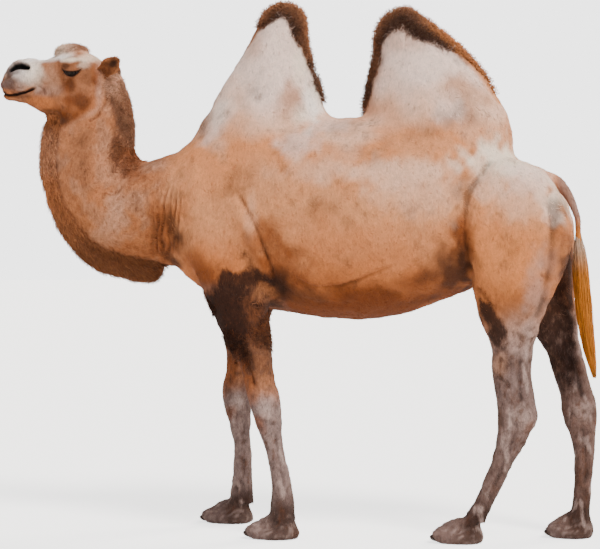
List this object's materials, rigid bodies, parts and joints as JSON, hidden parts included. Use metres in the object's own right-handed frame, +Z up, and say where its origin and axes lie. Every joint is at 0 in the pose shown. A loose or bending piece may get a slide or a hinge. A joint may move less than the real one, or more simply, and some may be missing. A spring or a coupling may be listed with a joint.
{
  "type": "bactrian camel",
  "caption": "Life-size still model of a standing two-humped camel in short summer coat, with throat mane, woolly humps and tufted tail.",
  "frame": {"origin": "on the floor, in the middle of the bounding box", "axes": "-X towards the nose, +X towards the tail, -Y the animal's left side, +Z up"},
  "size_m": [2.5298, 0.7326, 2.2053],
  "materials": {
    "coat": "short dense summer coat, lying flat, pale on the humps and tan on the flanks",
    "face_coat": "very short hair, pale grey on the muzzle",
    "dark_wool": "curly dark brown wool",
    "leg_coat": "short grey-brown hair",
    "foot_coat": "short dark hair over leathery skin",
    "tassel": "long straight golden-brown hair",
    "eye": "wet, glossy dark brown",
    "nail": "dull dark horn"
  },
  "bodies": {
    "root": {"trunk": "coat", "hump_front": "coat", "hump_rear": "coat", "neck": "coat", "head": "face_coat", "eye_left": "eye", "ear_left": "dark_wool", "eye_right": "eye", "ear_right": "dark_wool", "foreleg_left_upper": "dark_wool", "foreleg_left_lower": "leg_coat", "foreleg_left_foot": "foot_coat", "foreleg_left_nail_outer": "nail", "foreleg_left_nail_inner": "nail", "foreleg_right_upper": "dark_wool", "foreleg_right_lower": "leg_coat", "foreleg_right_foot": "foot_coat", "foreleg_right_nail_inner": "nail", "foreleg_right_nail_outer": "nail", "hindleg_left_upper": "coat", "hindleg_left_lower": "leg_coat", "hindleg_left_foot": "foot_coat", "hindleg_left_nail_outer": "nail", "hindleg_left_nail_inner": "nail", "hindleg_right_upper": "coat", "hindleg_right_lower": "leg_coat", "hindleg_right_foot": "foot_coat", "hindleg_right_nail_inner": "nail", "hindleg_right_nail_outer": "nail", "tail": "coat", "tail_tassel": "tassel"}
  },
  "joints": []
}
